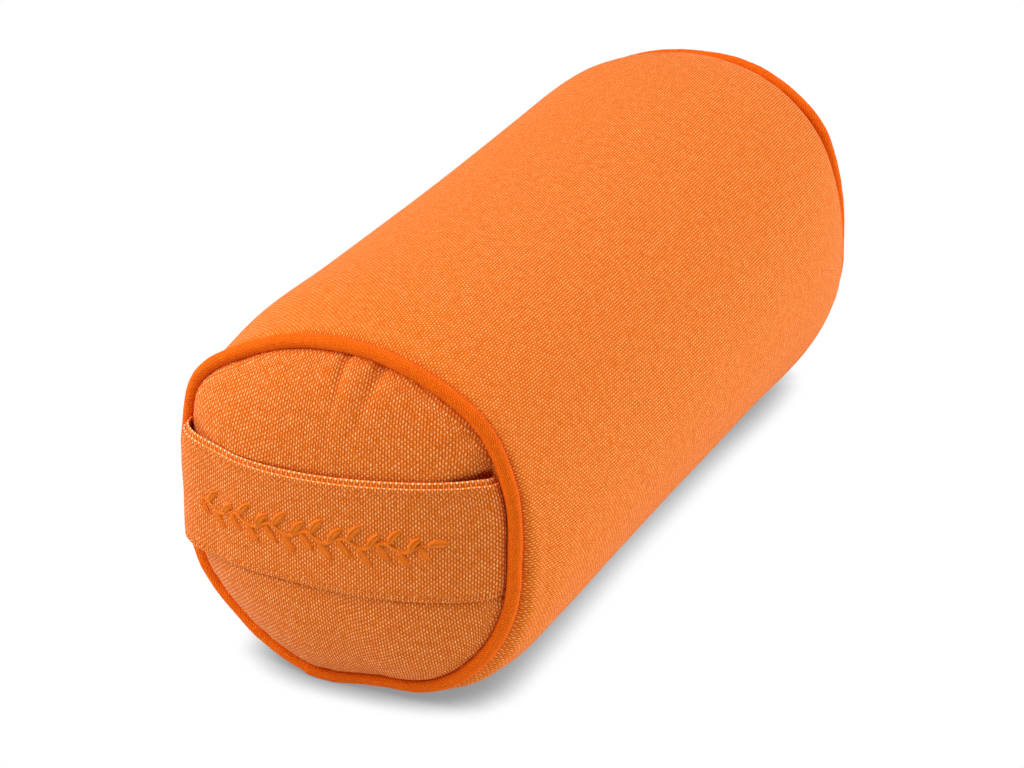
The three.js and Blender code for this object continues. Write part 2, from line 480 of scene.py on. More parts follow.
side_cloth = fitted_grid("side_cloth", SIDE_COLUMNS, LAST_ROW, cover_place, cover_flat)
print("side cloth:", len(side_cloth.data.polygons), "faces")

# %% [markdown]
# ## Piping
# Piping is a cord wrapped in a strip of cloth. It follows the seam line, and because it is sewn by
# hand past a machine foot it is never quite even: it gets slightly thicker and thinner, and where its
# two ends meet, at the bottom of the front seam, there is a small step.

# %% Piping
CORD_COLUMNS = 840
CORD_SIDES = 24
CORD_UNEVEN = 0.06  # share of its radius
CORD_ROUGH = 0.07 * MM  # height of the small lumps that the yarns make
CORD_WANDER = 0.2 * MM
CORD_SEED = 7.0
WANDER_SCALE = 4  # scales of the noise: for wander and thickness along the cord,
THICK_SCALE = 9
LUMPS_ALONG = 50  # and for its lumps along and round it
LUMPS_ROUND = 2.6
LUMP_SCALE = 0.9
CORD_JOINS = {"front": 255, "back": 200}  # degrees, where the ends of the cord meet
JOIN_STEP = 0.1  # share of its radius
JOIN_SHARP = 0.4  # degrees over which it steps
JOIN_REACH = 4.0  # degrees over which the step fades


def cord_ring(end):
    """The covered cord of a seam, as a closed ring."""
    seed = OUTWARDS[end] * CORD_SEED

    def place(s, t):
        angle = TURN * s
        turn = TURN * t
        out = outward(angle)
        wander = noise.noise(Vector((out.x * WANDER_SCALE, out.z * WANDER_SCALE, seed))) * CORD_WANDER
        uneven_spot = Vector((out.x * THICK_SCALE, out.z * THICK_SCALE, seed + 3))
        thick = 1 + CORD_UNEVEN * noise.noise(uneven_spot)
        past = (s * 360 - CORD_JOINS[end] + 180) % 360 - 180
        thick += JOIN_STEP * math.tanh(past / JOIN_SHARP) * math.exp(-abs(past) / JOIN_REACH)
        around = Vector((0, LUMPS_ROUND * math.cos(turn), LUMPS_ROUND * math.sin(turn)))
        spot = (out * LUMPS_ALONG + around) * LUMP_SCALE
        reach = CORD_RADIUS * thick + CORD_ROUGH * noise.noise(spot)
        middle = SEAMS[end](angle) + out * wander
        point = middle + out * (reach * math.cos(turn)) + Vector((0, reach * math.sin(turn), 0))
        point.z = max(0, point.z)
        return point

    def flat(s, t):
        return (CLOTH_ROUND * s, TURN * CORD_RADIUS * t)

    return fitted_grid(f"piping_{end}_cover", CORD_COLUMNS, CORD_SIDES, place, flat)


cords = {end: cord_ring(end) for end in SEAMS}
print("piping:", {end: len(cord.data.polygons) for end, cord in cords.items()})

# %% [markdown]
# ## The strap's middle line
# The strap crosses the front panel and goes down into the seam at both ends. Its middle line is a
# smooth curve through sections that were measured one by one. It bulges clear of the panel and ends
# beside the cord, and each section also says how wide the strap is there and how it leans.

# %% The strap's middle line
STRAP_SECTIONS = [
    # x, y and height of its middle line in mm, degrees that its upper edge stands out, width share, how
    # many mm its upper edge is further to the right, and how much of the seam's curve it takes
    (-60.2, -158.9, 71.4, 0, 1.01, 0.3, 0.95),
    (-62.0, -161.2, 71.2, 0, 1.01, 0.4, 0.88),
    (-62.5, -163.6, 70.9, 0, 1.01, 0.6, 0.74),
    (-61.4, -166.4, 70.7, 0, 1.005, 0.7, 0.62),
    (-57.9, -169.5, 70.5, 0, 1.0, 0.6, 0.48),
    (-52.5, -172.5, 70.3, 0, 0.995, 0.4, 0.34),
    (-44.0, -175.0, 69.9, 0.3, 0.975, 0.2, 0.2),
    (-33.0, -178.1, 69.4, 0.6, 0.955, 0, 0.07),
    (-20.0, -180.0, 69.4, 0.6, 0.95, 0, 0),
    (-5.0, -180.9, 69.7, 0.4, 0.96, 0, 0),
    (10.0, -180.9, 70.3, 0, 0.98, 0, 0),
    (25.0, -179.4, 71.1, 0, 1.0, 0, 0.02),
    (38.0, -176.8, 71.9, 0, 1.01, 0, 0.13),
    (49.0, -173.1, 72.7, 0, 1.01, 0, 0.37),
    (55.5, -170.0, 73.2, 0, 1.005, 0, 0.6),
    (59.4, -167.4, 73.4, 0, 0.99, 0, 0.8),
    (61.2, -165.2, 73.5, 0, 0.98, 0, 0.9),
    (61.6, -163.4, 73.5, 0, 0.975, 0, 0.93),
]
STRAP_COLUMNS = 280
STRAP_TUCK = 1.2 * MM  # from the cord's surface to the middle of the strap's end
STRAP_WAVER = 0.3  # mm, how far the strap's face is from even
WAVER_ALONG = 9  # scales of the noise for it
WAVER_ACROSS = 0.07
WAVER_SEED = 3.1
STRAP_HALF_WIDTH = 22.0  # mm
SMALL_SHARE = 0.002  # of the strap's length, for its direction


def along_sections(share):
    """The strap's values at a share of its length, on a smooth curve through its sections."""
    place = share * (len(STRAP_SECTIONS) - 1)
    row = min(int(place), len(STRAP_SECTIONS) - 2)
    share = place - row
    picked = [STRAP_SECTIONS[min(max(row + i, 0), len(STRAP_SECTIONS) - 1)] for i in (-1, 0, 1, 2)]
    values = []
    for a, b, c, d in zip(*picked):
        bend = (2 * a - 5 * b + 4 * c - d) + share * (3 * (b - c) + d - a)
        values.append(b + 0.5 * share * ((c - a) + share * bend))
    return values


FIRST_REACH = 62 * MM
REACH_ROUNDS = 3


def seam_reach(side, height):
    """How far from the middle the strap's end may go at a height, beside the cord."""
    reach = FIRST_REACH
    for _ in range(REACH_ROUNDS):
        seam = SEAMS["front"](math.atan2(height - AXIS_HEIGHT, side * reach))
        inner = math.hypot(seam.x, seam.z - AXIS_HEIGHT) - CORD_RADIUS - STRAP_TUCK
        reach = math.sqrt(inner**2 - (height - AXIS_HEIGHT) ** 2)
    return reach


def strap_point(share, across, out):
    """A point of the strap: its share of the length, then mm up from its middle line and out of it."""
    x, y, height, lean, width, slant, curved = along_sections(share)
    ahead = along_sections(min(1.0, share + SMALL_SHARE))
    behind = along_sections(max(0.0, share - SMALL_SHARE))
    along = Vector((ahead[0] - behind[0], ahead[1] - behind[1], 0)).normalized()
    up = Vector((0, -math.sin(math.radians(lean)), math.cos(math.radians(lean))))
    face = along.cross(up).normalized()
    out += STRAP_WAVER * noise.noise(Vector((share * WAVER_ALONG, across * WAVER_ACROSS, WAVER_SEED)))
    x += slant * across / STRAP_HALF_WIDTH
    point = (Vector((x, y, height)) + up * (across * width) + face * out) * MM
    side = 1 if x > 0 else -1
    point.x -= side * (seam_reach(side, height * MM) - seam_reach(side, point.z)) * curved
    return point


STRAP_LENGTHS = [0.0]
for column in range(STRAP_COLUMNS):
    step = strap_point((column + 1) / STRAP_COLUMNS, 0, 0) - strap_point(column / STRAP_COLUMNS, 0, 0)
    STRAP_LENGTHS.append(STRAP_LENGTHS[-1] + step.length)
print("strap's middle line:", round(STRAP_LENGTHS[-1] / MM, 1), "mm long")

# %% [markdown]
# ## The strap's cloth
# The strap is a strip of canvas folded in half, with both raw edges turned in at the top. So its lower
# edge is one fold, and its upper edge shows two folds side by side with a slit between them. A line of
# stitches close to each long edge pulls the cloth in. The outline of its cross section is swept along
# the middle line, which keeps the folds and their yarns in line from end to end.

# %% The strap's outline and surface
STITCH_LINES = (-19.8, 18.45)  # mm from the middle line
STITCH_PITCH = 2.5  # mm
PULLED_IN = 0.25  # mm, by the whole line, and as much again at each hole
PULL_REACH = 0.45  # mm to each side of the line
HOLE_REACH = 0.4  # mm to each side of a hole, along the line
FACE_OUT = 1.05  # mm, half the strap's thickness
near_bottom = [-20.9, -20.5, -20.2, -19.9, -19.6, -19.3, -18.9, -18.3]
near_top = [17.3, 17.8, 18.1, 18.4, 18.7, 19.0, 19.4, 19.8]
FACE_ROWS = near_bottom + [-17.6 + 1.26 * i for i in range(28)] + near_top
# the two folds at the top and the one at the bottom, as mm up and mm out
TOP_FOLDS = [(20.2, 1.02), (20.6, 0.9), (20.85, 0.62), (20.75, 0.32), (20.4, 0.12), (20.1, 0.02)]
TOP_FOLDS += [(21.1, -0.06), (22.0, -0.14), (22.5, -0.34), (22.65, -0.62), (22.45, -0.86)]
TOP_FOLDS += [(22.0, -1.0), (21.3, -FACE_OUT)]
BOTTOM_FOLD = [(-21.5, -0.98), (-22.0, -0.7), (-22.25, -0.35), (-22.3, 0)]
BOTTOM_FOLD += [(-22.25, 0.35), (-22.0, 0.7), (-21.5, 0.98)]
STRAP_OUTLINE = [(across, FACE_OUT) for across in FACE_ROWS] + TOP_FOLDS
STRAP_OUTLINE += [(across, -FACE_OUT) for across in reversed(FACE_ROWS)] + BOTTOM_FOLD
STRAP_OUTLINE.append(STRAP_OUTLINE[0])
LAST_SPOT = len(STRAP_OUTLINE) - 1

YARN_ALONG = 0.88 * MM  # from one thick orange yarn to the next, along the pale ones
FRONT_CREST = len(FACE_ROWS) + 2  # spots of the outline where the two top folds are highest
BACK_CREST = len(FACE_ROWS) + 8
CREST_STRETCH = 0.6  # a yarn on a fold is stretched, so it shows longer
strap_rows = [0.0]
for (a, b), (c, d) in zip(STRAP_OUTLINE, STRAP_OUTLINE[1:]):
    stretch = CREST_STRETCH if abs(a) > abs(FACE_ROWS[-1]) else 1.0
    strap_rows.append(strap_rows[-1] + math.hypot(c - a, d - b) * MM * stretch)
to_crest = (strap_rows[FRONT_CREST] / YARN_ALONG - 0.5) % 1 * YARN_ALONG
between_crests = strap_rows[BACK_CREST] - strap_rows[FRONT_CREST]
to_back_crest = (between_crests / YARN_ALONG + 0.5) % 1 * YARN_ALONG - 0.5 * YARN_ALONG
for row in range(len(strap_rows)):
    strap_rows[row] -= to_crest + (to_back_crest if row > FRONT_CREST + 3 else 0.0)


def pulled_in(length, across):
    """How far the stitches pull the face in at a place, in mm."""
    line = sum(math.exp(-(((across - at) / PULL_REACH) ** 2)) for at in STITCH_LINES)
    from_hole = (length / MM / STITCH_PITCH + 0.5) % 1 - 0.5
    hole = math.exp(-((from_hole * STITCH_PITCH / HOLE_REACH) ** 2))
    return PULLED_IN * line * (1 + hole)


def strap_place(s, t):
    """A point of the strap's surface, from its share of the length and its spot of the outline."""
    across, out = STRAP_OUTLINE[round(t * LAST_SPOT)]
    if abs(out) == FACE_OUT:
        out -= math.copysign(pulled_in(STRAP_LENGTHS[round(s * STRAP_COLUMNS)], across), out)
    return strap_point(s, across, out)


def strap_flat(s, t):
    return (STRAP_LENGTHS[round(s * STRAP_COLUMNS)], strap_rows[round(t * LAST_SPOT)])


bm = bmesh.new()
lay_grid(bm, STRAP_COLUMNS, LAST_SPOT, strap_place, strap_flat)
bmesh.ops.remove_doubles(bm, verts=bm.verts, dist=0.01 * MM)
bmesh.ops.holes_fill(bm, edges=[edge for edge in bm.edges if edge.is_boundary], sides=0)
strap = closed_piece(bm, "strap_cloth")
print("strap:", len(strap.data.polygons), "faces")

# %% [markdown]
# ## End panels
# An end panel is a flat disc of canvas that the filling domes. Its edge turns down into the seam
# beside the cord, and where the disc had more cloth than the seam could take, the edge is drawn into
# small puckers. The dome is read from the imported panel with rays. At the front the cloth is fuller
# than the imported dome, and the strap presses it in, so it bulges out above and below the strap.

# %% End panels
PANEL_COLUMNS = 300
PANEL_ROWS = 60
PANEL_THICKNESS = 1.2 * MM
PANEL_TUCK = 1.6 * MM  # how far the panel goes under the cord's edge
EDGE_ROLL = 0.955  # share of the radius where the panel starts to turn down
EDGE_DROP = 3.8 * MM
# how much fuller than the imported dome, and how flat on top, each at the bottom and at the top
PANEL_FULLER = {"front": (4.4 * MM, 5.8 * MM), "back": (1.5 * MM, 1.5 * MM)}
FULLER_ROUNDNESS = (5, 9)
STRAP_GAP = 0.5 * MM  # between the strap and the cloth it presses in
OPEN_CORNER = 4.5 * MM  # how much wider the gap gets at the top, towards the strap's right end
OPEN_FROM = 44 * MM  # where along X it starts to get wider
OPEN_OVER = 12 * MM
RISE_BESIDE_STRAP = 0.9  # slope of the cloth where it comes out from behind the strap
PUCKERS = [
    # angle and width in degrees, depth in mm (below 0 it stands out) and length in mm
    (88, 1.4, 4.4, 7),
    (82, 4.5, -1.1, 12),
    (75, 2.2, 4.4, 6),
    (76, 5.0, 0.4, 18),
    (66, 3.0, -0.4, 10),
    (98, 3.5, 0.5, 12),
    (112, 3.0, -0.4, 12),
    (128, 2.4, 0.7, 8),
    (149, 5.0, -2.0, 6),
    (40, 2.2, 0.8, 8),
    (28, 4.0, 5.6, 9),
    (215, 2.6, 0.7, 9),
    (238, 2.4, 0.7, 8),
    (262, 2.4, 0.8, 9),
    (284, 2.2, 0.6, 8),
    (318, 2.6, 0.6, 8),
]


def domed_shape(node):
    """A smooth copy of a packed panel to cast rays at."""
    copy = merged_copy(node, "dome")
    rounding = copy.modifiers.new("rounding", "SUBSURF")
    rounding.levels = 2
    rounding.render_levels = 2
    apply_modifiers(copy)
    shape = BVHTree.FromObject(copy, bpy.context.evaluated_depsgraph_get())
    bpy.data.objects.remove(copy)
    return shape


def pucker_depth(angle, from_rim):
    """How deep the puckers are at an angle and a distance from the seam, in metres."""
    degrees = math.degrees(angle) % 360
    total = 0.0
    for at, width, depth, length in PUCKERS:
        total += depth * MM * math.exp(-(((degrees - at) / width) ** 2) - from_rim / (length * MM))
    return total


PRESS_ROUNDING = 0.8 * MM  # over which the pressed cloth turns free


def pressed(y, limit):
    """The larger of two places along Y, with a rounded change between them."""
    share = min(1.0, max(0.0, 0.5 + 0.5 * (y - limit) / PRESS_ROUNDING))
    return mixed(limit, y, share) + PRESS_ROUNDING * share * (1 - share)


def behind_strap(x, z):
    """How far out the front panel may stand at a place, in metres along Y."""
    nearest = min(STRAP_BACKS, key=lambda back: abs(back[0] - x))
    beyond = max(0.0, abs(z - nearest[2]) - nearest[3])
    opened = OPEN_CORNER * min(1.0, max(0.0, (x - OPEN_FROM) / OPEN_OVER)) if z > nearest[2] else 0.0
    return nearest[1] + STRAP_GAP + opened - RISE_BESIDE_STRAP * beyond


STRAP_STEPS = 400
STRAP_BACKS = []  # x, y, height and half width of the strap's back, along it
for step in range(STRAP_STEPS + 1):
    back = strap_point(step / STRAP_STEPS, 0, -FACE_OUT)
    half_width = STRAP_HALF_WIDTH * along_sections(step / STRAP_STEPS)[4] * MM
    STRAP_BACKS.append((back.x, back.y, back.z, half_width))


RAY_START = 0.3  # metres along the axis, outside the bolster


def end_panel(end):
    """The cloth of an end panel, with its thickness as a modifier."""
    dome = domed_shape(f"end_panel_{end}")
    away = Vector((0, OUTWARDS[end], 0))

    def dome_y(angle, radius):
        start = Vector((0, 0, AXIS_HEIGHT)) + outward(angle) * radius + away * RAY_START
        return dome.ray_cast(start, -away)[0].y

    def place(s, t):
        angle = TURN * s
        seam = SEAMS[end](angle)
        rim = (seam - Vector((0, seam.y, AXIS_HEIGHT))).length - CORD_RADIUS + PANEL_TUCK
        unpulled = 1 - pull(f"piping_{end}", angle) / rim
        last = EDGE_ROLL * rim
        radius = t * rim
        y = dome_y(angle, min(radius, last) * unpulled)
        x = radius * math.cos(angle)
        z = AXIS_HEIGHT + radius * math.sin(angle)
        upper = 0.5 + 0.5 * math.sin(angle)
        fuller = mixed(*PANEL_FULLER[end], upper)
        y += away.y * fuller * (1 - (radius / rim) ** mixed(*FULLER_ROUNDNESS, upper))
        if end == "front":
            y = pressed(y, behind_strap(x, z))
        if radius > last:
            share = (radius - last) / (rim - last)
            steep = (dome_y(angle, last * unpulled) - dome_y(angle, last * unpulled - 1 * MM)) / (1 * MM)
            y = y + steep * (radius - last) - away.y * EDGE_DROP * share**2
        dip = pucker_depth(angle, rim - radius)
        return Vector((x, y - away.y * dip, z))

    reaches = [0.0]
    for row in range(PANEL_ROWS):
        step = place(0.0, (row + 1) / PANEL_ROWS) - place(0.0, row / PANEL_ROWS)
        reaches.append(reaches[-1] + step.length)

    def flat(s, t):
        reach = reaches[round(t * PANEL_ROWS)]
        return (reach * math.cos(TURN * s), reach * math.sin(TURN * s))

    panel = fitted_grid(f"end_panel_{end}_cloth", PANEL_COLUMNS, PANEL_ROWS, place, flat)
    thickness = panel.modifiers.new("thickness", "SOLIDIFY")
    thickness.thickness = PANEL_THICKNESS
    thickness.offset = -1
    return panel


panels = {end: end_panel(end) for end in SEAMS}
print("panels:", {end: len(panel.data.polygons) for end, panel in panels.items()})

# %% [markdown]
# ## Stitches of the strap
# The thread goes down at each hole and lies in a short arch between two holes. Each stitch is a thin
# closed roll with few faces, because there are about a hundred.

# %% Stitches
THREAD_RADIUS = 0.24  # mm
STITCH_SHARE = 0.8  # of the pitch, the rest is under the cloth
STITCH_STEPS = 6
STITCH_SIDES = 6
STITCH_FREE = 3  # stitches left out at each end of the strap, where the seam hides them
STITCH_LOW = 0.42  # mm, its ends below the strap's face
STITCH_ARCH = 0.3  # mm
ROLL_BLUNTNESS = 8  # how blunt a roll's ends are


def share_at(length):
    """The share of the strap's length at a number of metres from its left end."""
    column = next((i for i, value in enumerate(STRAP_LENGTHS) if value > length), STRAP_COLUMNS)
    before, after = STRAP_LENGTHS[column - 1], STRAP_LENGTHS[column]
    return (column - 1 + (length - before) / (after - before)) / STRAP_COLUMNS


def roll(bm, steps, sides, centre, radius, scale=1.0):
    """A closed roll along a line on the strap. centre(u) gives length, across and out, all in mm."""

    def place(s, t):
        length, across, out = centre(s)
        turn = TURN * t
        thick = radius * math.sqrt(max(0.0, 1 - (2 * s - 1) ** ROLL_BLUNTNESS))
        across += thick * math.cos(turn)
        return strap_point(share_at(length * MM), across, out + thick * math.sin(turn) * scale)

    def flat(s, t):
        return (centre(s)[0] * MM, TURN * t * radius * MM)

    lay_grid(bm, steps, sides, place, flat)


bm = bmesh.new()
for line in STITCH_LINES:
    for number in range(STITCH_FREE, int(STRAP_LENGTHS[-1] / MM / STITCH_PITCH) - STITCH_FREE):

        def stitch(u, line=line, number=number):
            length = (number + 0.5 + STITCH_SHARE * (u - 0.5)) * STITCH_PITCH
            return length, line, FACE_OUT - STITCH_LOW + STITCH_ARCH * math.sin(math.pi * u)

        roll(bm, STITCH_STEPS, STITCH_SIDES, stitch, THREAD_RADIUS)
stitches = closed_piece(bm, "strap_stitches")
print("stitches:", len(stitches.data.polygons), "faces")

# %% [markdown]
# ## Stitched sprig
# A running sprig of leaves is embroidered on the strap in satin stitch: each leaf has two halves of
# close threads that meet in its middle vein, and they stand up about a millimetre. Each leaf is a
# closed lens with its lower side sunk in the cloth, so it needs no cutting.

# %% Sprig
SPRIG_START = -53.0  # mm along the strap, from where it passes the middle of the panel
SPRIG_END = 40.0
SPRIG_ACROSS = -1.5  # mm up from the strap's middle line
STEM_WAVE = 1.5  # mm
STEM_RADIUS = 0.75
STEM_FLATNESS = 0.8
STEM_STEPS = 220
STEM_SIDES = 10
LEAF_LENGTH = 9.2
LEAF_HALF_WIDTH = 1.8
LEAF_LEAN = math.radians(50)
LEAF_SPACING = 3.65
LEAF_LIFT = 1.1
LEAF_BEND = 0.9  # mm that it curves to its side
LEAF_WIDEST = 0.8  # powers that shape it: below 1 it is widest towards its base,
LEAF_FULLNESS = 0.85  # has a full outline,
LEAF_CROWN = 0.6  # and a full cross section
LEAF_THINNING = 1.6  # it gets lower where it is narrower than its half width through this
SMALLEST_LEAF = 0.8  # share of the full size, at both ends of the sprig
END_LEAF_LEAN = 0.05
END_LEAF_SIZE = 0.95
THREAD_LEAN = 0.8  # how far the threads lean forwards from the vein
VEIN_DEPTH = 0.35  # share of its height
VEIN_WIDTH = 0.2  # share of its half width
LEAF_STEPS = 18
LEAF_RING = 28
SUNK = 0.35
strap_shares = [step / STRAP_STEPS for step in range(STRAP_STEPS + 1)]
middle_share = min((abs(strap_point(share, 0, 0).x), share) for share in strap_shares)[1]
STRAP_MIDDLE = STRAP_LENGTHS[round(middle_share * STRAP_COLUMNS)] / MM


def stem_across(along):
    """How far up the stem's wave is, in mm."""
    return SPRIG_ACROSS + STEM_WAVE * math.sin((along - SPRIG_START) / LEAF_SPACING / 2 * math.pi)


def stem(u):
    """The stem's line, for a roll."""
    along = mixed(SPRIG_START, SPRIG_END, u)
    return STRAP_MIDDLE + along, stem_across(along), FACE_OUT


def leaf(bm, along, across, angle, size):
    """A leaf from its base, pointing at an angle."""
    length = LEAF_LENGTH * size

    def spot(s, t):
        outline = math.sin(math.pi * s**LEAF_WIDEST) ** LEAF_FULLNESS if 0 < s < 1 else 0.0
        half = LEAF_HALF_WIDTH * size * outline
        across_share = 1 - 4 * abs(t - 0.5)
        curve = LEAF_BEND * size * math.sin(math.pi * s) * math.copysign(1, angle)
        return length * s, half * across_share + curve, across_share, half

    def place(s, t):
        forward, sideways, across_share, half = spot(s, t)
        x = along + forward * math.cos(angle) - sideways * math.sin(angle)
        y = across + forward * math.sin(angle) + sideways * math.cos(angle)
        lift = -SUNK
        if t < 0.5:
            vein = VEIN_DEPTH * math.exp(-((across_share / VEIN_WIDTH) ** 2))
            rise = (1 - across_share**2) ** LEAF_CROWN - vein
            lift += (LEAF_LIFT + SUNK) * rise * min(1.0, half / LEAF_HALF_WIDTH * LEAF_THINNING)
        return strap_point(share_at((STRAP_MIDDLE + x) * MM), y, FACE_OUT + lift)

    def flat(s, t):
        forward, sideways, across_share, half = spot(s, t)
        return ((forward + THREAD_LEAN * abs(across_share) * half) * MM, sideways * MM)

    lay_grid(bm, LEAF_STEPS, LEAF_RING, place, flat)


bm = bmesh.new()
roll(bm, STEM_STEPS, STEM_SIDES, stem, STEM_RADIUS, scale=STEM_FLATNESS)
leaf_count = int((SPRIG_END - SPRIG_START) / LEAF_SPACING)
for number in range(leaf_count):
    along = SPRIG_START + (number + 0.5) * LEAF_SPACING
    side = 1 if number % 2 else -1
    size = mixed(SMALLEST_LEAF, 1.0, math.sin(math.pi * (number + 0.5) / leaf_count))
    leaf(bm, along, stem_across(along), side * LEAF_LEAN, size)
leaf(bm, SPRIG_END - 1, stem_across(SPRIG_END - 1), END_LEAF_LEAN, END_LEAF_SIZE)
sprig = closed_piece(bm, "strap_sprig")
print("sprig:", len(sprig.data.polygons), "faces")

# %% [markdown]
# ## Canvas
# The cloth is a plain-weave cotton canvas. Bright orange yarns cross pale, slightly pink ones, one
# over and one under, at about ten yarns for each centimetre, so the eye sees pale dots on orange. The
# gaps between the yarns are painted dark, as the shade that falls in them, and on the strap's folds
# both yarns are painted lighter, as a highlight.
# The weave is worked out from the flat cloth's place: each set of yarns is a row of round ridges, and
# a product of two sines says which set is on top at each crossing. Noise makes the yarns stray a
# little, and dyes them unevenly, with thick places, flecks and knots that show no pale yarn. Plain-weave
# canvas is matte, with a faint sheen of fibres at a flat angle.

# %% Canvas
def from_hex(text):
    """An sRGB hex colour as linear values, with an alpha of 1."""
    parts = [int(text[i : i + 2], 16) / 255 for i in (1, 3, 5)]
    return [c / 12.92 if c <= 0.04045 else ((c + 0.055) / 1.055) ** 2.4 for c in parts] + [1.0]


def node(tree, kind, links=None, **settings):
    """Adds a node with its settings and links, and returns its first enabled output."""
    made = tree.nodes.new(kind)
    for name, value in settings.items():
        setattr(made, name, value)
    for name, value in (links or {}).items():
        if isinstance(value, bpy.types.NodeSocket):
            tree.links.new(value, made.inputs[name])
        else:
            made.inputs[name].default_value = value
    return next(output for output in made.outputs if output.enabled)


def new_material(name):
    """A material, its node tree and its shader."""
    material = bpy.data.materials.new(name)
    material.use_nodes = True
    return material, material.node_tree, material.node_tree.nodes["Principled BSDF"]


def fold_highlight_mask(tree, flat, folds):
    """How much painted highlight the cloth gets at a place: 1 on the crests of the folds, 0 away from them.
    """
    down = node(tree, "ShaderNodeSeparateXYZ", {0: flat}).node.outputs["Y"]
    fold_highlight = 0.0
    for fold in folds:
        away = node(tree, "ShaderNodeMath", {0: down, 1: fold, 2: 0.3 * YARN_ALONG}, operation="COMPARE")
        fold_highlight = node(tree, "ShaderNodeMath", {0: fold_highlight, 1: away}, operation="MAXIMUM")
    return fold_highlight


SLUBS_ALONG = (0.3, 0.045, 1)  # thick places of the yarns, long in the flat cloth's second direction
SLUBS_ROUND = (0.045, 0.3, 1)  # or long in its first one
STREAK_DETAIL = {"Detail": 3.0, "Roughness": 0.6}
MOTTLE_DETAIL = {"Detail": 3.0, "Roughness": 0.7}
SMOOTH = {"interpolation_type": "SMOOTHSTEP"}


